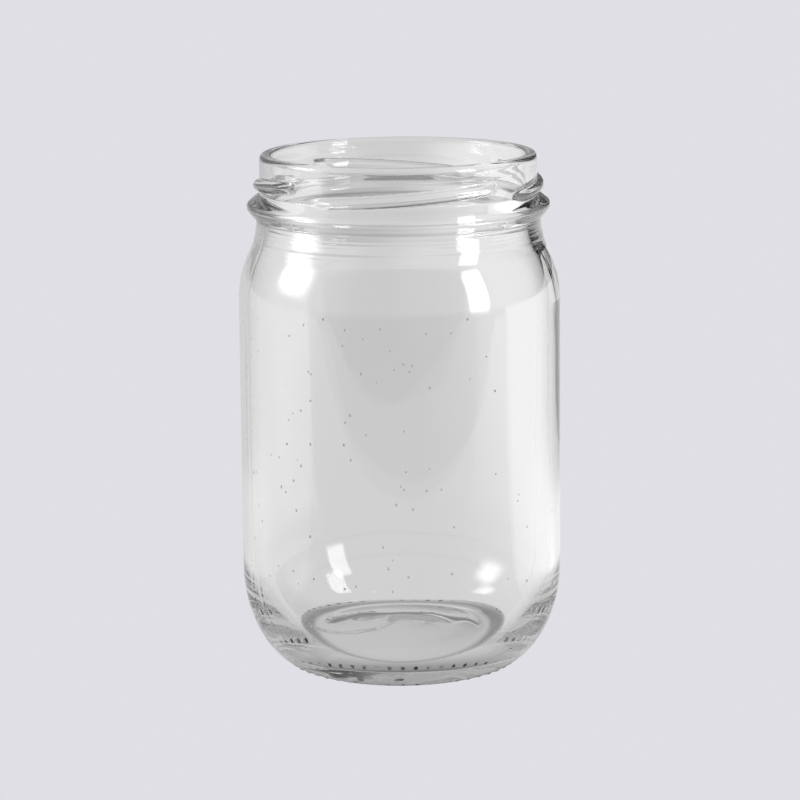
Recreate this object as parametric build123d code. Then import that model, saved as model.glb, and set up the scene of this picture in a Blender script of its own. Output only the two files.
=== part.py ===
from build123d import *
from math import cos, pi, radians, sin
import os

# An open, round glass jar with a twist-off finish, blown as one piece of glass.
# Millimetres, +Z up. The origin is the centre of the ring that the jar stands on.

# Overall sizes
height = 127.0
body_radius = 39.2
wall = 2.6

# Base: a flat bearing ring around a shallow push-up
bearing_inner_radius = 20.2
bearing_outer_radius = 22.4
push_up_height = 2.8
heel_height = 25.3

# Small round bumps moulded around the start of the heel
bump_count = 52
bump_circle_radius = 28.0
bump_radius = 0.55
bump_low = 1.15
bump_high = 3.0

# Inside of the base
floor_edge_radius = 26.9
floor_edge_height = 6.5
floor_step_outer_radius = 24.4
floor_step_inner_radius = 14.5
floor_centre_height = 7.6
inner_heel_top = 27.0
inner_heel_half_width = 27.2
inner_heel_half_height = 26.64
inner_heel_degrees = 48.0

# Shoulder: two arcs that meet at a point part-way up
shoulder_low = 91.5
shoulder_high = 111.1
neck_radius = 34.6
shoulder_bend_share = 0.587
inner_shoulder_low = 90.5
inner_shoulder_high = 114.0
inner_shoulder_bend_share = 0.55

# Transfer bead under the lugs
bead_radius = 37.05
bead_height = 114.3
bead_edge_radius = 36.5
bead_edge_half_height = 0.9
bead_top_radius = 34.35
bead_top_height = 117.0

# Collar and rim
collar_radius = 33.65
collar_low = 117.6
mouth_radius = 30.9
rim_land_inner_radius = 31.7
rim_land_outer_radius = 32.5
rim_inner_drop = 0.8
rim_outer_drop = 1.4

# Lugs: separate right-hand threads, each fading out at both ends
lug_count = 4
lug_tip_radius = 35.25
lug_middle_height = 119.5
lug_half_height = 1.45
lug_lead = 15.6
lug_length_degrees = 88.0
lug_taper_degrees = 16.0
lug_middle_azimuth = -87.0
lug_core_radius = 33.3
lug_faded_depth = 0.3
lug_sections = 12


def point_between(low, high, share):
    """The point that lies the given share of the way from low to high."""
    return tuple(a + share * (b - a) for a, b in zip(low, high))


def s_curve(low, high, share):
    """Two arcs, upright at both ends, that meet smoothly on the line from low to high."""
    bend = point_between(low, high, share)
    lower = TangentArc(low, bend, tangent=(0, 1))
    upper = TangentArc(high, bend, tangent=(0, -1))
    return [lower, upper]


def outside_lines():
    """The outer outline, from the centre of the base up to the sealing land."""
    bead_low = bead_height - bead_edge_half_height
    bead_high = bead_height + bead_edge_half_height
    neck_top = (neck_radius, shoulder_high)
    return [
        TangentArc((0, push_up_height), (bearing_inner_radius, 0), tangent=(1, 0)),
        Line((bearing_inner_radius, 0), (bearing_outer_radius, 0)),
        EllipticalCenterArc(
            (bearing_outer_radius, heel_height),
            body_radius - bearing_outer_radius,
            heel_height,
            start_angle=270,
            arc_size=90,
        ),
        Line((body_radius, heel_height), (body_radius, shoulder_low)),
        *s_curve((body_radius, shoulder_low), neck_top, shoulder_bend_share),
        Line(neck_top, (bead_edge_radius, bead_low)),
        ThreePointArc(
            (bead_edge_radius, bead_low),
            (bead_radius, bead_height),
            (bead_edge_radius, bead_high),
        ),
        Line((bead_edge_radius, bead_high), (bead_top_radius, bead_top_height)),
        Line((bead_top_radius, bead_top_height), (collar_radius, collar_low)),
        Line((collar_radius, collar_low), (collar_radius, height - rim_outer_drop)),
        TangentArc(
            (collar_radius, height - rim_outer_drop),
            (rim_land_outer_radius, height),
            tangent=(0, 1),
        ),
        Line((rim_land_outer_radius, height), (rim_land_inner_radius, height)),
    ]


def floor_lines():
    """The inside of the base: a sharp foot, then a low step up to the flat centre."""
    heel_turn = radians(inner_heel_degrees)
    heel_end = (
        body_radius - wall - inner_heel_half_width * (1 - cos(heel_turn)),
        inner_heel_top - inner_heel_half_height * sin(heel_turn),
    )
    floor_edge = (floor_edge_radius, floor_edge_height)
    step_low = (floor_step_outer_radius, floor_edge_height)
    step_high = (floor_step_inner_radius, floor_centre_height)
    step_middle = point_between(step_low, step_high, 0.5)
    return [
        Line(heel_end, floor_edge),
        Line(floor_edge, step_low),
        TangentArc(step_low, step_middle, tangent=(-1, 0)),
        TangentArc(step_high, step_middle, tangent=(1, 0)),
        Line(step_high, (0, floor_centre_height)),
        Line((0, floor_centre_height), (0, push_up_height)),
    ]


def inside_lines():
    """The inner outline, from the sealing land down to the centre of the floor."""
    inner_radius = body_radius - wall
    return [
        TangentArc(
            (mouth_radius, height - rim_inner_drop),
            (rim_land_inner_radius, height),
            tangent=(0, 1),
        ),
        Line((mouth_radius, height - rim_inner_drop), (mouth_radius, inner_shoulder_high)),
        *s_curve(
            (inner_radius, inner_shoulder_low),
            (mouth_radius, inner_shoulder_high),
            inner_shoulder_bend_share,
        ),
        Line((inner_radius, inner_shoulder_low), (inner_radius, inner_heel_top)),
        EllipticalCenterArc(
            (inner_radius - inner_heel_half_width, inner_heel_top),
            inner_heel_half_width,
            inner_heel_half_height,
            start_angle=360 - inner_heel_degrees,
            arc_size=inner_heel_degrees,
        ),
        *floor_lines(),
    ]


def jar_blank():
    """The jar without its lugs and bumps: one outline turned around the Z axis."""
    edges = outside_lines() + inside_lines()
    section = Plane.XZ * make_face(edges)
    return revolve(section, Axis.Z)


def lug_fade(angle):
    """How far a lug stands out at an angle from its middle: 1 along it, 0 at its ends."""
    from_end = lug_length_degrees / 2 - abs(angle)
    share = min(from_end / lug_taper_degrees, 1.0)
    return (1 - cos(pi * share)) / 2


def lug_section(angle):
    """The lug's oval cross-section in the upright plane at an angle from its middle."""
    depth_range = lug_tip_radius - lug_core_radius - lug_faded_depth
    depth = lug_faded_depth + depth_range * lug_fade(angle)
    azimuth = radians(angle)
    across = (cos(azimuth), sin(azimuth), 0)
    around = (sin(azimuth), -cos(azimuth), 0)
    centre = (
        lug_core_radius * cos(azimuth),
        lug_core_radius * sin(azimuth),
        lug_middle_height + lug_lead * angle / 360,
    )
    return Plane(origin=centre, x_dir=across, z_dir=around) * Ellipse(depth, lug_half_height)


def lug():
    """One right-hand lug around the +X axis, rising anticlockwise seen from above."""
    step = lug_length_degrees / lug_sections
    angles = [index * step - lug_length_degrees / 2 for index in range(lug_sections + 1)]
    return loft([lug_section(angle) for angle in angles])


def heel_bumps():
    """The ring of small round bumps on the start of the heel, their flat ends clear of the table."""
    length = bump_high - bump_low
    bump = Pos(0, 0, bump_low + length / 2) * Cylinder(bump_radius, length)
    return [place * bump for place in PolarLocations(bump_circle_radius, bump_count)]


def glass_jar():
    """The finished jar."""
    one_lug = lug()
    turns = [lug_middle_azimuth + index * 360 / lug_count for index in range(lug_count)]
    lugs = [Rot(0, 0, turn) * one_lug for turn in turns]
    return jar_blank() + lugs + heel_bumps()


os.makedirs("parts", exist_ok=True)
export_step(glass_jar(), "parts/glass_jar.step")
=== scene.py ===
"""A clear glass jar with a twist-off finish, built as one high-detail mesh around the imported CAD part."""

import math
import random

import bpy
import numpy as np
from mathutils import Euler, Matrix, Vector


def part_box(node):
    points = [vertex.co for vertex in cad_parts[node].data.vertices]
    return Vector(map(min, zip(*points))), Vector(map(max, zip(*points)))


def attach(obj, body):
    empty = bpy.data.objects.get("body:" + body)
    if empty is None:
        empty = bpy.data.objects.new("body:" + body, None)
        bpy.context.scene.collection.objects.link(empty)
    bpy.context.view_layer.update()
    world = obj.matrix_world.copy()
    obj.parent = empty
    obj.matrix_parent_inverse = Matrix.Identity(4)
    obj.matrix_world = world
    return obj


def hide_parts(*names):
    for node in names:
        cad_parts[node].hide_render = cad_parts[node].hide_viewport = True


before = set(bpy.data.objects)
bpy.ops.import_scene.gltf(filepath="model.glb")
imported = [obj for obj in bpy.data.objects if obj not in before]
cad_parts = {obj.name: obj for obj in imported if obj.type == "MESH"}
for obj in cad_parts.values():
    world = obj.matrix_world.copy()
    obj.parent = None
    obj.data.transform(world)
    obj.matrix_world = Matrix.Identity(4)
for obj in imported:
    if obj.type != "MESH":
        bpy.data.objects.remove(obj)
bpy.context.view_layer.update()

# Outlines are worked out in millimetres from the axis and from the table, then scaled to metres
MM = 0.001
NODE = "glass_jar"
low_corner, high_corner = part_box(NODE)
HEIGHT = (high_corner.z - low_corner.z) / MM
BODY_RADIUS = (high_corner.x - low_corner.x) / 2 / MM

# Base
BEARING_INNER = 20.2
BEARING_OUTER = 22.4
PUSH_UP = 2.8
HEEL_HEIGHT = 25.3

# The ring of bumps on the start of the heel: their number, the circle they stand on, the radius of their foot,
# the share of it that is level, how far they stand out, and the height that they all stay below
STIPPLE_COUNT = 52
STIPPLE_CIRCLE = 28.0
STIPPLE_FOOT = 0.85
STIPPLE_TIP_SHARE = 0.3
STIPPLE_RISE = 0.25
STIPPLE_CEILING = 3.0

# Inside: the wall, the mouth, the floor with its narrow foot and its step, the heel and the shoulder
WALL = 2.6
MOUTH_RADIUS = 30.9
FLOOR_RADIUS = 26.9
FLOOR_EDGE = 6.5
FLOOR_RISE = 1.1
FLOOR_STEP = (14.5, 24.4)
FOOT_WIDTH = 2.5
FOOT_RISE = 0.15
INNER_HEEL_TOP = 27.0
INNER_HEEL_RADII = (27.2, 26.64)
INNER_HEEL_TURN = 48
INNER_SHOULDER = ((BODY_RADIUS - WALL, 90.5), (MOUTH_RADIUS, 114.0), 0.55)

# Shoulder, bead, collar and rim
NECK = (34.6, 111.1)
SHOULDER = ((BODY_RADIUS, 91.5), NECK, 0.587)
COLLAR_RADIUS = 33.65
BEAD_CORNERS = [NECK, (36.7, 113.5), (36.95, 114.3), (36.7, 115.1), (34.35, 117.0), (COLLAR_RADIUS, 117.6)]
RIM_OUTER_WIDTH = 1.3
RIM_OUTER_DROP = 1.4
RIM_INNER_ROUND = 0.9

# Lugs, and the band of heights that holds them
LUG_COUNT = 4
LUG_TIP = 35.25
LUG_MIDDLE = 119.5
LUG_HALF_HEIGHT = 1.45
LUG_LEAD = 15.6
LUG_LENGTH = math.radians(88)
LUG_TAPER = math.radians(16)
LUG_AZIMUTH = math.radians(-87)
LUG_CORE = 33.3
LUG_BLEND = 0.12
LUG_ZONE = (115.6, 123.6)

# The unevenness of blown glass: how far the outer and inner walls wander, how far the mould seams and the rings
# under the bead stand out, and where the first seam lies as a share of a turn. The zones are heights: where
# the unevenness starts, is full, starts to fade and is gone.
OUTER_WANDER = 0.05
INNER_WANDER = 0.34
SEAM_RISE = 0.06
SEAM_SHARE = 0.06
NECK_RING_RISE = 0.05
BODY_ZONE = (4, 12, 108, 111)
NECK_ZONE = (103, 106, 112.2, 113.2)

# Inside, the heights between which the wall's wandering starts at the foot and ends at the top, and between
# which the floor's unevenness ends; and by how many radians the outer wall's waves are turned from the inner
INNER_FOOT = (9, 22)
INNER_TOP = (100, 121)
FLOOR_TOP = (9.5, 14)
OUTER_TURN = 1.9

# The raised print on the left of the floor: its centre, half its width, and its height
PRINT_CENTRE = (-14, 0)
PRINT_RADIUS = 11.5
PRINT_RISE = 0.35

# Small bubbles in the wall: how many, their middle azimuth and its spread in degrees, their heights, the glass
# left outside and inside them, their smallest and largest radius, how tall they are for their width, and the
# start of the random draws
SEED_COUNT = 95
SEED_AZIMUTHS = (-118, 42)
SEED_HEIGHTS = (26, 92)
SEED_COVER = (0.7, 0.9)
SEED_SIZES = (0.14, 0.30)
SEED_STRETCH = 1.3
RANDOM_START = 11

# Mesh fineness: columns around the axis, seven to each bump
COLUMNS = STIPPLE_COUNT * 7

# The glass: how much it bends light, its grey tint in depth, what it lets through of a shadow ray, its faint
# ripples with their height in millimetres, and its patches of haze with the noise values where they start and
# are full, and how rough they are
GLASS_IOR = 1.51
TINT_TONE = 0.905
TINT_DENSITY = 22
SHADOW_TONE = 0.93
RIPPLE_SCALE = 90
RIPPLE_STRENGTH = 0.12
RIPPLE_HEIGHT = 0.15
HAZE_SCALE = 35
HAZE_REACH = (0.45, 0.75)
HAZE_ROUGHNESS = 0.012

# Dark painted shade on the ends of the bumps, standing for their contact shadows on the table and uneven from
# bump to bump
# like wear: full within the first radius and gone by the second, the noise values where it starts and is full,
# the scale of that noise, and its grey
STIPPLE_SHADE_RADII = (0.4, 0.7)
STIPPLE_SHADE_WEAR = (0.40, 0.55)
STIPPLE_SHADE_WEAR_SCALE = 160
STIPPLE_SHADE_GREY = 35

# The backdrop as the camera sees it: red, green and blue display levels
BACKDROP_LEVELS = (224, 223, 229)

# The table's front edge and how far it slants and blurs, and where the table gives way to the wall, in metres
TABLE_EDGE = -0.262
TABLE_EDGE_SLANT = 0.1
TABLE_EDGE_BLUR = 0.008
TABLE_FAR = (0.6, 3.0)

# How far the table lies below the jar's base, in millimetres, so that the two never share a plane
TABLE_GAP = 0.05

# How bright the table and the room are as the glass mirrors them, the table's tones being painted window light:
# left side, right side, back left, back right
TABLE_SIDE_LIGHT = (0.92, 1.38, 0.70, 0.88)
ROOM_SIDES = (0.95, 1.25, 0.74, 0.88)

# Where those tones change, as shares of the view direction: from left to right, from the sides to the back, and
# from the dark front to the sides after the front is turned a little
SIDES_REACH = (-0.2, 0.2)
BACK_REACH = (0.3, 0.8)
FRONT_REACH = (-0.33, -0.29)
FRONT_TURN = -0.144

# The greys of the dark front, of the table close to the jar and in front of it, and of the ceiling as mirrored
# and as seen through; then where the ceiling starts and is full, as upward shares of the view direction
FRONT_GREY = 55
NEAR_GREY = 205
CEILING_MIRRORED = 60
CEILING_THROUGH = 100
CEILING_REACH = (0.2, 0.7)

# How far from the axis, in millimetres, the table goes over from its near grey to its side tones
NEAR_REACH = (60, 120)

# The wall as seen through the glass, and its darker part straight behind the jar: how far the middle of that
# part lies to the left, and from where to where it fades out, as sideways shares of the view direction
WALL_THROUGH = 226
WALL_BEHIND = 195
BEHIND_OFFSET = 0.035
BEHIND_REACH = (0.01, 0.10)

# The table as seen through the glass: left of the jar, straight behind it and right of it, and where, in
# millimetres to the right of the axis, the left tone ends and the right one starts
TABLE_THROUGH = (222, 211, 236)
THROUGH_LEFT = (-70, -20)
THROUGH_RIGHT = (5, 60)

# For rays mirrored more than once: the greys of the table behind the jar, the room behind it on the left and
# on the right, and everything else, then from where to where, in metres, the table takes them on
DEEP_TABLE_BACK = 12
DEEP_BACK_LEFT = 180
DEEP_BACK_RIGHT = 15
DEEP_ELSEWHERE = 205
DEEP_TABLE = (0.18, 0.30)

# For the same rays, as shares of the view direction: where the part behind the jar starts and is full, and
# where it changes from left to right
DEEP_BACK_REACH = (0.3, 0.6)
DEEP_RIGHT_REACH = (-0.1, 0.4)

# The contact shadow around the bearing ring: where it starts, is full, starts to fade and is gone
CONTACT_RING = (21.0, 23.5, 25.0, 32)

# Greys of the painted shade under the base and of the painted contact shadow, as seen through the glass and as
# mirrored in it
THROUGH_UNDER_SHADE = 198
THROUGH_CONTACT = 125
MIRRORED_UNDER_SHADE = 125
MIRRORED_CONTACT = 105

# The camera: its place in millimetres, its lens in millimetres, the shift of its picture, and how far it looks
# down and leans over, in degrees
CAMERA_PLACE = (0, -828, 225)
CAMERA_LENS = 154.7
CAMERA_SHIFT = (0.0073, 0.0029)
CAMERA_DOWN = 10.92
CAMERA_ROLL = 0.55

# Light is trapped for many bounces in the thick heel, so a low limit would show there as false black
BOUNCES = 64


def ellipse_arc(centre, radii, start, stop, steps):
    """Points on an ellipse from one angle to another, in degrees, without the last one."""
    angles = np.radians(np.linspace(start, stop, steps, endpoint=False))
    return [(centre[0] + radii[0] * math.cos(a), centre[1] + radii[1] * math.sin(a)) for a in angles]


def line(start, stop, steps):
    """Evenly spaced points from start towards stop, without the last one."""
    shares = np.linspace(0, 1, steps, endpoint=False)
    return [tuple(a + s * (b - a) for a, b in zip(start, stop)) for s in shares]


def s_curve(low, high, share, steps):
    """Points up two arcs that meet on the line from low to high, without the last one."""
    inward, rise = low[0] - high[0], high[1] - low[1]
    lean = 2 * math.atan2(inward, rise)
    total = inward / (1 - math.cos(lean))
    lower, upper = share * total, (1 - share) * total
    leans = np.linspace(0, lean, steps, endpoint=False)
    first = [(low[0] - lower * (1 - math.cos(a)), low[1] + lower * math.sin(a)) for a in leans]
    back = [(high[0] + upper * (1 - math.cos(a)), high[1] - upper * math.sin(a)) for a in leans]
    bend = (low[0] - lower * (1 - math.cos(lean)), low[1] + lower * math.sin(lean))
    return first + [bend] + back[:0:-1]


def rounded(corners, spacing, passes):
    """A corner-to-corner path cut into short even steps, with its corners eased by averaging."""
    path = []
    for start, stop in zip(corners, corners[1:]):
        steps = max(1, round(math.dist(start, stop) / spacing))
        path += line(start, stop, steps)
    path = np.array(path + [corners[-1]])
    for _ in range(passes):
        path[1:-1] = (path[:-2] + 2 * path[1:-1] + path[2:]) / 4
    return [tuple(point) for point in path]


def outside_outline():
    """The outer surface from the base centre to the sealing land, as (radius, height) points."""
    cap_radius = (BEARING_INNER**2 + PUSH_UP**2) / (2 * PUSH_UP)
    cap = []
    for radius in np.linspace(0, BEARING_INNER, 14, endpoint=False):
        cap.append((radius, PUSH_UP - cap_radius + math.sqrt(cap_radius**2 - radius**2)))
    heel_radii = (BODY_RADIUS - BEARING_OUTER, HEEL_HEIGHT)
    bearing = line((BEARING_INNER, 0), (BEARING_OUTER, 0), 4)
    heel = ellipse_arc((BEARING_OUTER, HEEL_HEIGHT), heel_radii, -90, -74, 8)
    heel += ellipse_arc((BEARING_OUTER, HEEL_HEIGHT), heel_radii, -74, -66, 14)
    heel += ellipse_arc((BEARING_OUTER, HEEL_HEIGHT), heel_radii, -66, 0, 28)
    side = line((BODY_RADIUS, HEEL_HEIGHT), SHOULDER[0], 18)
    shoulder = s_curve(*SHOULDER, 30)
    finish = rounded(BEAD_CORNERS, spacing=0.28, passes=4)[:-1]
    collar = line(BEAD_CORNERS[-1], (COLLAR_RADIUS, LUG_ZONE[1]), 30)
    collar += line((COLLAR_RADIUS, LUG_ZONE[1]), (COLLAR_RADIUS, HEIGHT - RIM_OUTER_DROP), 4)
    rim_centre = (COLLAR_RADIUS - RIM_OUTER_WIDTH, HEIGHT - RIM_OUTER_DROP)
    rim = ellipse_arc(rim_centre, (RIM_OUTER_WIDTH, RIM_OUTER_DROP), 0, 90, 8)
    return cap + bearing + heel + side + shoulder + finish + collar + rim


def inside_outline():
    """The inner surface from the sealing land down to the floor's centre."""
    inner_radius = BODY_RADIUS - WALL
    land = [(COLLAR_RADIUS - RIM_OUTER_WIDTH, HEIGHT)]
    rim_centre = (MOUTH_RADIUS + RIM_INNER_ROUND, HEIGHT - RIM_INNER_ROUND)
    rim = ellipse_arc(rim_centre, (RIM_INNER_ROUND, RIM_INNER_ROUND), 90, 180, 6)
    mouth = line((MOUTH_RADIUS, HEIGHT - RIM_INNER_ROUND), INNER_SHOULDER[1], 12)
    shoulder = [INNER_SHOULDER[1]] + s_curve(*INNER_SHOULDER, 14)[:0:-1]
    side = line(INNER_SHOULDER[0], (inner_radius, INNER_HEEL_TOP), 18)
    heel_centre = (inner_radius - INNER_HEEL_RADII[0], INNER_HEEL_TOP)
    heel = ellipse_arc(heel_centre, INNER_HEEL_RADII, 360, 360 - INNER_HEEL_TURN, 24)
    turn = math.radians(INNER_HEEL_TURN)
    heel_end = (
        heel_centre[0] + INNER_HEEL_RADII[0] * math.cos(turn),
        heel_centre[1] - INNER_HEEL_RADII[1] * math.sin(turn),
    )
    foot_end = (FLOOR_RADIUS - FOOT_WIDTH, FLOOR_EDGE + FOOT_RISE)
    foot = rounded([heel_end, (FLOOR_RADIUS, FLOOR_EDGE), foot_end], spacing=0.3, passes=4)
    floor = []
    for radius in np.linspace(foot_end[0], 0, 30):
        share = 1 - smooth_step(np.array(radius), *FLOOR_STEP)
        floor.append((radius, foot_end[1] + (FLOOR_RISE - FOOT_RISE) * float(share)))
    return land + rim + mouth + shoulder + side + heel + foot[:-1] + floor


def smooth_max(a, b, blend):
    """The larger of two arrays, with the crease between them rounded over the blend width."""
    gap = a - b
    return (a + b + np.sqrt(gap * gap + blend * blend)) / 2


def smooth_step(values, low, high):
    """0 below low, 1 above high, and an easy curve between."""
    share = np.clip((values - low) / (high - low), 0, 1)
    return share * share * (3 - 2 * share)


def zone(values, start, full, fading, gone):
    """0 below start, 1 from full to fading, 0 above gone, and easy curves between."""
    return smooth_step(values, start, full) * (1 - smooth_step(values, fading, gone))


def add_lugs(radius, height, azimuth):
    """Raises the four right-hand lugs out of the collar."""
    ridges = np.full_like(radius, LUG_CORE)
    for index in range(LUG_COUNT):
        middle = LUG_AZIMUTH + index * math.tau / LUG_COUNT
        turn = (azimuth - middle + math.pi) % math.tau - math.pi
        from_end = LUG_LENGTH / 2 - np.abs(turn)
        fade = smooth_step(from_end, 0, LUG_TAPER)
        centre = LUG_MIDDLE + LUG_LEAD * turn / math.tau
        share = np.clip((height - centre) / LUG_HALF_HEIGHT, -1, 1)
        ridge = LUG_CORE + (LUG_TIP - LUG_CORE) * fade * np.sqrt(1 - share**2)
        present = (from_end > 0) & (np.abs(height - centre) < LUG_HALF_HEIGHT)
        ridges = np.maximum(ridges, np.where(present, ridge, LUG_CORE))
    return smooth_max(radius, ridges, LUG_BLEND)


def add_stipple(radius, height, azimuth):
    """Raises a ring of small round bumps on the start of the heel."""
    pitch = math.tau / STIPPLE_COUNT
    across = ((azimuth + pitch / 2) % pitch - pitch / 2) * STIPPLE_CIRCLE
    away = np.hypot(across, radius - STIPPLE_CIRCLE) / STIPPLE_FOOT
    return height - STIPPLE_RISE * (1 - smooth_step(away, STIPPLE_TIP_SHARE, 1))


def mould_seam(azimuth):
    """1 on the two columns where the halves of the mould met, 0 elsewhere."""
    column = np.round(azimuth / math.tau * COLUMNS) % (COLUMNS // 2)
    return (column == round(COLUMNS * SEAM_SHARE)).astype(float)


def blown_waves(height, azimuth):
    """The slow unevenness of a blown inner wall, between about -1 and 1."""
    up = height / HEIGHT
    broad = np.sin(2 * azimuth + 1.1 + 1.7 * up) * 0.45
    folds = np.sin(5 * azimuth - 2.6 * up + 0.4) * 0.22
    fine = np.sin(9 * azimuth + 4.1 * up + 2.0) * 0.09
    rise = np.sin(11 * up + 3 * azimuth) * 0.12 + np.sin(23 * up - 2 * azimuth) * 0.05
    return broad + folds + fine + rise


def neck_rings(height, azimuth):
    """Fine rings pressed into the glass between the bead and the shoulder."""
    pitch = 2.1 + 0.25 * np.sin(height * 0.7)
    return zone(height, *NECK_ZONE) * np.sin(math.tau * height / pitch + 0.3 * np.sin(2 * azimuth))


def chill_ripples(radius, azimuth):
    """Irregular rings left on the floor where the first gob of glass cooled."""
    warp = 1.6 * np.sin(2 * azimuth + 0.7) + 0.9 * np.sin(3 * azimuth + 2.1)
    rings = np.sin((radius + warp) * 0.9) * 0.05 + np.sin((radius - warp) * 0.47 + azimuth) * 0.13
    return rings * smooth_step(radius, 2, 9) * (1 - smooth_step(radius, 19, 25))


def gob_print(radius, azimuth):
    """A round print on the left of the floor, with an edge that is clear in front and fades at the back."""
    sideways, back = radius * np.cos(azimuth), radius * np.sin(azimuth)
    away = np.hypot(sideways - PRINT_CENTRE[0], back - PRINT_CENTRE[1]) / PRINT_RADIUS
    fading = 1 - smooth_step(back, -2, 9)
    return PRINT_RISE * fading * (1 - smooth_step(away, 0.92, 1.08))


def all_round(outline):
    """The radius, height and azimuth of every point of an outline taken around the axis, ring by ring."""
    azimuth = np.arange(COLUMNS) / COLUMNS * math.tau
    radius = np.repeat(outline[:, :1], COLUMNS, 1)
    height = np.repeat(outline[:, 1:], COLUMNS, 1)
    return radius, height, np.repeat(azimuth[None, :], len(outline), 0)


def outer_points():
    """The outer skin, without the point on the axis, as (radius, height, azimuth) in millimetres."""
    radius, height, turn = all_round(np.array(outside_outline()[1:]))
    lugged = (height > LUG_ZONE[0]) & (height < LUG_ZONE[1])
    radius = np.where(lugged, add_lugs(radius, height, turn), radius)
    on_heel = (radius > BEARING_OUTER) & (height < STIPPLE_CEILING)
    height = np.where(on_heel, add_stipple(radius, height, turn), height)
    waves = OUTER_WANDER * blown_waves(height, turn + OUTER_TURN) - OUTER_WANDER
    radius = radius + zone(height, *BODY_ZONE) * (waves + SEAM_RISE * mould_seam(turn))
    radius = radius + NECK_RING_RISE * neck_rings(height, turn)
    return np.stack((radius, height, turn), -1)


def inner_points():
    """The inner skin, without the point on the axis, as (radius, height, azimuth) in millimetres."""
    radius, height, turn = all_round(np.array(inside_outline()[:-1]))
    below_top = 1 - smooth_step(height, *INNER_TOP)
    above_foot = smooth_step(height, *INNER_FOOT)
    radius = radius + INNER_WANDER * below_top * above_foot * blown_waves(height, turn)
    flat = 1 - smooth_step(height, *FLOOR_TOP)
    height = height + flat * (chill_ripples(radius, turn) + gob_print(radius, turn))
    return np.stack((radius, height, turn), -1)


def seeds():
    """Small bubbles trapped in the wall, each as (azimuth, height, radius from the axis, size)."""
    draw = random.Random(RANDOM_START)
    bubbles = []
    for _ in range(SEED_COUNT):
        azimuth = math.radians(draw.gauss(*SEED_AZIMUTHS))
        height = draw.uniform(*SEED_HEIGHTS)
        radius = BODY_RADIUS - draw.uniform(SEED_COVER[0], WALL - SEED_COVER[1])
        size = draw.uniform(*SEED_SIZES)
        bubbles.append((azimuth, height, radius, size))
    return bubbles


def build_jar():
    """The glass as one mesh of closed skins: the jar's outer and inner skin in one, and a skin to each seed."""
    rings = np.concatenate((outer_points(), inner_points()))
    ring_count = len(rings)
    flat = rings.reshape(-1, 3)
    points = np.stack(
        (flat[:, 0] * np.cos(flat[:, 2]), flat[:, 0] * np.sin(flat[:, 2]), flat[:, 1]), -1
    )
    verts = [tuple(p) for p in points * MM]
    base = len(verts)
    verts.append((0, 0, PUSH_UP * MM))
    top = len(verts)
    verts.append((0, 0, (FLOOR_EDGE + FLOOR_RISE) * MM))
    faces = []
    for ring in range(ring_count - 1):
        for column in range(COLUMNS):
            after = (column + 1) % COLUMNS
            here, above = ring * COLUMNS, (ring + 1) * COLUMNS
            faces.append((here + column, here + after, above + after, above + column))
    last = (ring_count - 1) * COLUMNS
    for column in range(COLUMNS):
        after = (column + 1) % COLUMNS
        faces.append((base, after, column))
        faces.append((top, last + column, last + after))
    for seed in seeds():
        add_ball(verts, faces, *seed)
    mesh = bpy.data.meshes.new("jar_glass")
    mesh.from_pydata(verts, [], faces)
    mesh.validate()
    mesh.polygons.foreach_set("use_smooth", [True] * len(mesh.polygons))
    mesh.update()
    jar = bpy.data.objects.new("jar_glass", mesh)
    bpy.context.scene.collection.objects.link(jar)
    return jar


def add_ball(verts, faces, azimuth, height, radius, size):
    """Adds one stretched bubble to the lists, with its faces turned inwards."""
    rows, columns = 6, 8
    centre = Vector((radius * math.cos(azimuth), radius * math.sin(azimuth), height))
    tip = Vector((0, 0, SEED_STRETCH * size))
    start = len(verts)
    verts.append(tuple((centre - tip) * MM))
    for row in range(1, rows):
        lean = math.pi * row / rows
        for column in range(columns):
            turn = math.tau * column / columns
            spot = Vector((math.sin(lean) * math.cos(turn), math.sin(lean) * math.sin(turn), 0)) * size
            spot.z = -SEED_STRETCH * size * math.cos(lean)
            verts.append(tuple((centre + spot) * MM))
    verts.append(tuple((centre + tip) * MM))
    last = len(verts) - 1
    for column in range(columns):
        after = (column + 1) % columns
        faces.append((start, start + 1 + column, start + 1 + after))
        top_row = start + 1 + (rows - 2) * columns
        faces.append((last, top_row + after, top_row + column))
        for row in range(rows - 2):
            here = start + 1 + row * columns
            above = here + columns
            faces.append((here + column, above + column, above + after, here + after))


def new_material(name):
    """An empty node material and its output node."""
    material = bpy.data.materials.new(name)
    material.use_nodes = True
    material.node_tree.nodes.clear()
    output = material.node_tree.nodes.new("ShaderNodeOutputMaterial")
    return material, material.node_tree, output


def tone(strength):
    """A neutral colour of the given linear strength."""
    return (strength, strength, strength, 1)


def grey(level):
    """A neutral colour whose display value is the given level from 0 to 255."""
    value = level / 255
    return tone(value / 12.92 if value <= 0.04045 else ((value + 0.055) / 1.055) ** 2.4)


def maths(tree, operation, *values):
    """A math node whose inputs are sockets or plain numbers; gives its output socket."""
    node = tree.nodes.new("ShaderNodeMath")
    node.operation = operation
    for slot, value in zip(node.inputs, values):
        if isinstance(value, (int, float)):
            slot.default_value = value
        else:
            tree.links.new(value, slot)
    return node.outputs[0]


def ease(tree, value, low, high):
    """A socket that runs smoothly from 0 at low to 1 at high."""
    node = tree.nodes.new("ShaderNodeMapRange")
    node.interpolation_type = "SMOOTHSTEP"
    node.inputs["From Min"].default_value = low
    node.inputs["From Max"].default_value = high
    tree.links.new(value, node.inputs["Value"])
    return node.outputs["Result"]


def blend(tree, share, first, second):
    """A socket between two colours, each a socket or a plain colour."""
    node = tree.nodes.new("ShaderNodeMix")
    node.data_type = "RGBA"
    tree.links.new(share, node.inputs[0])
    for slot, value in ((node.inputs[6], first), (node.inputs[7], second)):
        if isinstance(value, tuple):
            slot.default_value = value
        else:
            tree.links.new(value, slot)
    return node.outputs[2]


def metres(values):
    """Values in millimetres turned into metres."""
    return tuple(value * MM for value in values)


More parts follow.
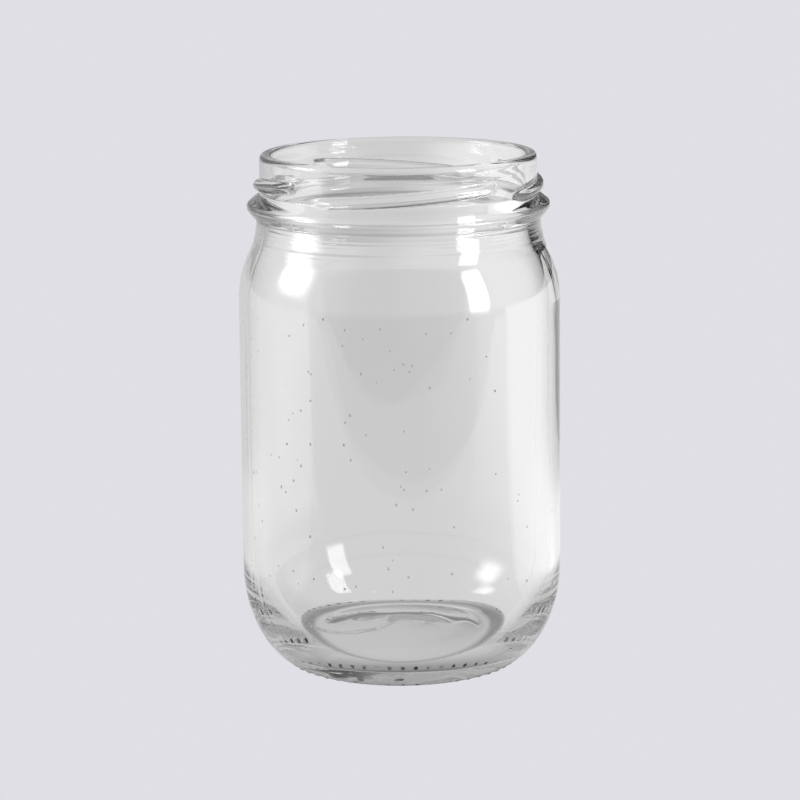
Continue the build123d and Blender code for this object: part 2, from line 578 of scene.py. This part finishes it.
def axes(tree, vector):
    """The X, Y and Z of a vector socket."""
    node = tree.nodes.new("ShaderNodeSeparateXYZ")
    tree.links.new(vector, node.inputs[0])
    return node.outputs["X"], node.outputs["Y"], node.outputs["Z"]


def distance(tree, vector):
    """The length of a vector socket."""
    node = tree.nodes.new("ShaderNodeVectorMath")
    node.operation = "LENGTH"
    tree.links.new(vector, node.inputs[0])
    return node.outputs["Value"]


def clear_glass():
    """Soda-lime glass: faint ripples, a trace of haze in patches, and a slight grey tint in depth."""
    material, tree, output = new_material("clear_glass")
    node, link = tree.nodes.new, tree.links.new
    place = node("ShaderNodeTexCoord")
    stretch = node("ShaderNodeMapping")
    stretch.inputs["Scale"].default_value = (1, 1, 0.35)
    link(place.outputs["Object"], stretch.inputs["Vector"])

    ripple = node("ShaderNodeTexNoise")
    ripple.inputs["Scale"].default_value = RIPPLE_SCALE
    ripple.inputs["Detail"].default_value = 1.5
    link(stretch.outputs["Vector"], ripple.inputs["Vector"])
    bump = node("ShaderNodeBump")
    bump.inputs["Strength"].default_value = RIPPLE_STRENGTH
    bump.inputs["Distance"].default_value = RIPPLE_HEIGHT * MM
    link(ripple.outputs["Fac"], bump.inputs["Height"])

    haze = node("ShaderNodeTexNoise")
    haze.inputs["Scale"].default_value = HAZE_SCALE
    haze.inputs["Detail"].default_value = 4
    link(place.outputs["Object"], haze.inputs["Vector"])
    rough = node("ShaderNodeMapRange")
    rough.inputs["From Min"].default_value, rough.inputs["From Max"].default_value = HAZE_REACH
    rough.inputs["To Min"].default_value = 0.0
    rough.inputs["To Max"].default_value = HAZE_ROUGHNESS
    link(haze.outputs["Fac"], rough.inputs["Value"])

    glass = node("ShaderNodeBsdfPrincipled")
    glass.inputs["Base Color"].default_value = (1, 1, 1, 1)
    glass.inputs["IOR"].default_value = GLASS_IOR
    glass.inputs["Transmission Weight"].default_value = 1
    link(rough.outputs["Result"], glass.inputs["Roughness"])
    link(bump.outputs["Normal"], glass.inputs["Normal"])

    # Dark dots of painted shade on the bump ends, standing for their contact shadows on the table
    shade_dots = node("ShaderNodeBsdfDiffuse")
    shade_dots.inputs["Color"].default_value = grey(STIPPLE_SHADE_GREY)
    shade_dotted = node("ShaderNodeMixShader")
    link(stipple_wear_and_shade(tree, place.outputs["Object"]), shade_dotted.inputs["Fac"])
    link(glass.outputs["BSDF"], shade_dotted.inputs[1])
    link(shade_dots.outputs["BSDF"], shade_dotted.inputs[2])

    path = node("ShaderNodeLightPath")
    through = node("ShaderNodeBsdfTransparent")
    through.inputs["Color"].default_value = tone(SHADOW_TONE)
    pick = node("ShaderNodeMixShader")
    link(path.outputs["Is Shadow Ray"], pick.inputs["Fac"])
    link(shade_dotted.outputs["Shader"], pick.inputs[1])
    link(through.outputs["BSDF"], pick.inputs[2])
    link(pick.outputs["Shader"], output.inputs["Surface"])

    tint = node("ShaderNodeVolumeAbsorption")
    tint.inputs["Color"].default_value = tone(TINT_TONE)
    tint.inputs["Density"].default_value = TINT_DENSITY
    link(tint.outputs["Volume"], output.inputs["Volume"])
    return material


def stipple_wear_and_shade(tree, place):
    """1 on the ends of the stipple bumps, where dark painted shade stands for their contact shadows, more on
    some than on others like wear, and 0 elsewhere.
    """
    x, y, z = axes(tree, place)
    turn = maths(tree, "ARCTAN2", y, x)
    index = maths(tree, "MULTIPLY", turn, STIPPLE_COUNT / math.tau)
    off = maths(tree, "SUBTRACT", index, maths(tree, "ROUND", index))
    across = maths(tree, "MULTIPLY", off, math.tau / STIPPLE_COUNT * STIPPLE_CIRCLE * MM)
    outward = maths(tree, "SUBTRACT", distance(tree, place), STIPPLE_CIRCLE * MM)
    square = maths(tree, "MULTIPLY_ADD", across, across, maths(tree, "MULTIPLY", outward, outward))
    full, gone = metres(STIPPLE_SHADE_RADII)
    inside = maths(tree, "SUBTRACT", gone, maths(tree, "SQRT", square))
    spot = ease(tree, inside, 0, gone - full)
    on_heel = maths(tree, "LESS_THAN", z, STIPPLE_CEILING * MM)
    shade_unevenness = tree.nodes.new("ShaderNodeTexNoise")
    shade_unevenness.inputs["Scale"].default_value = STIPPLE_SHADE_WEAR_SCALE
    tree.links.new(place, shade_unevenness.inputs["Vector"])
    uneven_shade = ease(tree, shade_unevenness.outputs["Fac"], *STIPPLE_SHADE_WEAR)
    return maths(tree, "MULTIPLY", maths(tree, "MULTIPLY", spot, on_heel), uneven_shade)


def mirror_count(tree):
    """How many times a surface has mirrored the ray, leaving out its passages through surfaces."""
    path = tree.nodes.new("ShaderNodeLightPath")
    return maths(tree, "SUBTRACT", path.outputs["Ray Depth"], path.outputs["Transmission Depth"])


def mirrored_only(tree):
    """1 for rays that a surface has mirrored at least once, 0 for the rest."""
    return maths(tree, "GREATER_THAN", mirror_count(tree), 0.5)


def mirrored_deeply(tree):
    """1 for rays that have been mirrored more than once, 0 for the rest."""
    return maths(tree, "GREATER_THAN", mirror_count(tree), 1.5)


def deep_tone(tree, ahead, back):
    """What rays mirrored more than once see: the given tone behind the jar, pale elsewhere."""
    return blend(tree, ease(tree, ahead, *DEEP_BACK_REACH), grey(DEEP_ELSEWHERE), back)


def room_switch(tree, seen_through, mirrored):
    """The backdrop for the camera, one tone for what shows through glass, one for what it mirrors."""
    path = tree.nodes.new("ShaderNodeLightPath")
    room = blend(tree, mirrored_only(tree), seen_through, mirrored)
    backdrop = tuple(grey(level)[0] for level in BACKDROP_LEVELS) + (1,)
    return blend(tree, path.outputs["Is Camera Ray"], room, backdrop)


def room_sides(tree, sideways, ahead, levels, front):
    """A tone by direction: the given one in front, then the levels for left, right, back left, back right."""
    turned = maths(tree, "MULTIPLY_ADD", sideways, FRONT_TURN, ahead)
    right = ease(tree, sideways, *SIDES_REACH)
    left_side, right_side, back_left, back_right = map(tone, levels)
    sides = blend(tree, right, left_side, right_side)
    behind = blend(tree, right, back_left, back_right)
    lit = blend(tree, ease(tree, ahead, *BACK_REACH), sides, behind)
    return blend(tree, ease(tree, turned, *FRONT_REACH), front, lit)


def contact_shadow(tree, away, inside, ring, outside):
    """The table's painted shade by distance from the axis: the shade under the base, the dark contact ring,
    then the open table.
    """
    start, full, fading, gone = metres(CONTACT_RING)
    under = blend(tree, ease(tree, away, start, full), inside, ring)
    return blend(tree, ease(tree, away, fading, gone), under, outside)


def straight_behind(tree, sideways):
    """0 straight behind the jar, 1 to either side of that."""
    beside = maths(tree, "ABSOLUTE", maths(tree, "ADD", sideways, BEHIND_OFFSET))
    return ease(tree, beside, *BEHIND_REACH)


def wall_behind(tree, sideways):
    """The far wall as it shows through the glass, a little darker straight behind the jar."""
    return blend(tree, straight_behind(tree, sideways), grey(WALL_BEHIND), grey(WALL_THROUGH))


def table_through(tree, x, away):
    """The open table as it shows through the glass, going over into the wall far away."""
    left, middle, right = map(grey, TABLE_THROUGH)
    near = blend(tree, ease(tree, x, *metres(THROUGH_LEFT)), left, middle)
    near = blend(tree, ease(tree, x, *metres(THROUGH_RIGHT)), near, right)
    wall = wall_behind(tree, maths(tree, "DIVIDE", x, away))
    return blend(tree, ease(tree, away, *TABLE_FAR), near, wall)


def table_mirrored(tree, x, y, away):
    """The table as the glass mirrors it: dark beyond its front edge, and behind the jar to deep rays."""
    sideways = maths(tree, "DIVIDE", x, away)
    ahead = maths(tree, "DIVIDE", y, away)
    slanted = maths(tree, "MULTIPLY_ADD", x, -TABLE_EDGE_SLANT, y)
    on_table = ease(tree, slanted, TABLE_EDGE - TABLE_EDGE_BLUR, TABLE_EDGE + TABLE_EDGE_BLUR)
    front = blend(tree, on_table, grey(FRONT_GREY), grey(NEAR_GREY))
    # Painted window light on the table's sides, brighter on the right
    table = room_sides(tree, sideways, ahead, TABLE_SIDE_LIGHT, front)
    close = blend(tree, ease(tree, away, *metres(NEAR_REACH)), grey(NEAR_GREY), table)
    lit_table = contact_shadow(tree, away, grey(MIRRORED_UNDER_SHADE), grey(MIRRORED_CONTACT), close)
    deep = maths(tree, "MULTIPLY", mirrored_deeply(tree), ease(tree, away, *DEEP_TABLE))
    return blend(tree, deep, lit_table, deep_tone(tree, ahead, grey(DEEP_TABLE_BACK)))


def floor_material():
    """A pale table: even to the camera, shaded under the jar, and darker in front as mirrored."""
    material, tree, output = new_material("pale_floor")
    place = tree.nodes.new("ShaderNodeTexCoord").outputs["Object"]
    x, y, _ = axes(tree, place)
    away = distance(tree, place)
    open_table = table_through(tree, x, away)
    # Painted shade under the base and a painted contact shadow, for rays seen through the glass
    through = contact_shadow(tree, away, grey(THROUGH_UNDER_SHADE), grey(THROUGH_CONTACT), open_table)
    glow = tree.nodes.new("ShaderNodeEmission")
    tree.links.new(room_switch(tree, through, table_mirrored(tree, x, y, away)), glow.inputs["Color"])
    tree.links.new(glow.outputs["Emission"], output.inputs["Surface"])
    return material


def build_floor():
    """A wide flat table."""
    reach = 6.0
    mesh = bpy.data.meshes.new("studio_floor")
    corners = [(-reach, -reach, 0), (reach, -reach, 0), (reach, reach, 0), (-reach, reach, 0)]
    mesh.from_pydata(corners, [], [(0, 1, 2, 3)])
    floor = bpy.data.objects.new("studio_floor", mesh)
    floor.location.z = -TABLE_GAP * MM
    bpy.context.scene.collection.objects.link(floor)
    floor.data.materials.append(floor_material())


def walls_mirrored(tree, x, y, rise):
    """The room as the glass mirrors it: its sides, the darker wall straight behind, and a dim ceiling."""
    walls = room_sides(tree, x, y, ROOM_SIDES, grey(FRONT_GREY))
    elsewhere = maths(tree, "MAXIMUM", maths(tree, "LESS_THAN", y, 0.0), straight_behind(tree, x))
    walls = blend(tree, elsewhere, grey(WALL_BEHIND), walls)
    walls = blend(tree, rise, walls, grey(CEILING_MIRRORED))
    back = blend(tree, ease(tree, x, *DEEP_RIGHT_REACH), grey(DEEP_BACK_LEFT), grey(DEEP_BACK_RIGHT))
    return blend(tree, mirrored_deeply(tree), walls, deep_tone(tree, y, back))


def build_world():
    """The room: an even backdrop for the camera; pale walls, a dim ceiling and a dark front for the glass."""
    world = bpy.data.worlds.new("studio")
    bpy.context.scene.world = world
    world.use_nodes = True
    tree = world.node_tree
    tree.nodes.clear()
    x, y, z = axes(tree, tree.nodes.new("ShaderNodeTexCoord").outputs["Generated"])
    rise = ease(tree, z, *CEILING_REACH)
    through = blend(tree, rise, wall_behind(tree, x), grey(CEILING_THROUGH))
    shine = tree.nodes.new("ShaderNodeBackground")
    tree.links.new(room_switch(tree, through, walls_mirrored(tree, x, y, rise)), shine.inputs["Color"])
    output = tree.nodes.new("ShaderNodeOutputWorld")
    tree.links.new(shine.outputs["Background"], output.inputs["Surface"])


def softbox_material(name, strength, softness):
    """Light from a diffusing panel, fading out at its edges, that shows only in direct reflections."""
    material, tree, output = new_material(name)
    node, link = tree.nodes.new, tree.links.new
    x, y, _ = axes(tree, node("ShaderNodeTexCoord").outputs["Object"])
    share = maths(tree, "COMPARE", mirror_count(tree), 1.0, 0.4)
    for across in (x, y):
        inward = maths(tree, "SUBTRACT", 1.0, maths(tree, "ABSOLUTE", across))
        share = maths(tree, "MULTIPLY", share, ease(tree, inward, 0, softness))
    glow = node("ShaderNodeEmission")
    glow.inputs["Strength"].default_value = strength
    clear = node("ShaderNodeBsdfTransparent")
    pick = node("ShaderNodeMixShader")
    link(share, pick.inputs["Fac"])
    link(clear.outputs["BSDF"], pick.inputs[1])
    link(glow.outputs["Emission"], pick.inputs[2])
    link(pick.outputs["Shader"], output.inputs["Surface"])
    return material


def softbox(name, azimuth, away, height, size, strength, softness):
    """A diffusing panel facing the jar, in metres; azimuth in degrees from the front, positive to the right."""
    mesh = bpy.data.meshes.new(name)
    mesh.from_pydata([(-1, -1, 0), (1, -1, 0), (1, 1, 0), (-1, 1, 0)], [], [(0, 1, 2, 3)])
    panel = bpy.data.objects.new(name, mesh)
    mesh.materials.append(softbox_material(name, strength, softness))
    angle = math.radians(azimuth - 90)
    place = Vector((away * math.cos(angle), away * math.sin(angle), height))
    aim = Vector((0, 0, place.z)) - place
    turn = aim.to_track_quat("-Z", "Y").to_matrix().to_4x4()
    stretch = Matrix.Diagonal((size[0] / 2, size[1] / 2, 1, 1))
    panel.matrix_world = Matrix.Translation(place) @ turn @ stretch
    bpy.context.scene.collection.objects.link(panel)
    panel.visible_camera = False
    panel.visible_shadow = False


def build_camera():
    """A long lens in front of the jar and a little above it, looking slightly down."""
    data = bpy.data.cameras.new("camera")
    data.sensor_width = 36
    data.lens = CAMERA_LENS
    data.shift_x, data.shift_y = CAMERA_SHIFT
    camera = bpy.data.objects.new("camera", data)
    camera.location = metres(CAMERA_PLACE)
    camera.rotation_euler = Euler((math.radians(90 - CAMERA_DOWN), math.radians(CAMERA_ROLL), 0))
    bpy.context.scene.collection.objects.link(camera)
    bpy.context.scene.camera = camera


jar = build_jar()
jar.data.materials.append(clear_glass())
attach(jar, "root")
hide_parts(NODE)

build_floor()
build_world()
softbox("softbox_left", azimuth=-85, away=0.6, height=0.33, size=(0.40, 0.40), strength=12, softness=0.9)
softbox("softbox_right", azimuth=57, away=0.6, height=0.28, size=(0.20, 0.46), strength=9, softness=0.35)
build_camera()

scene = bpy.context.scene
scene.view_settings.view_transform = "Standard"
scene.cycles.use_denoising = True
scene.cycles.caustics_reflective = False
scene.cycles.caustics_refractive = False
scene.cycles.max_bounces = BOUNCES
scene.cycles.transmission_bounces = BOUNCES
scene.cycles.glossy_bounces = BOUNCES
scene.cycles.transparent_max_bounces = 16
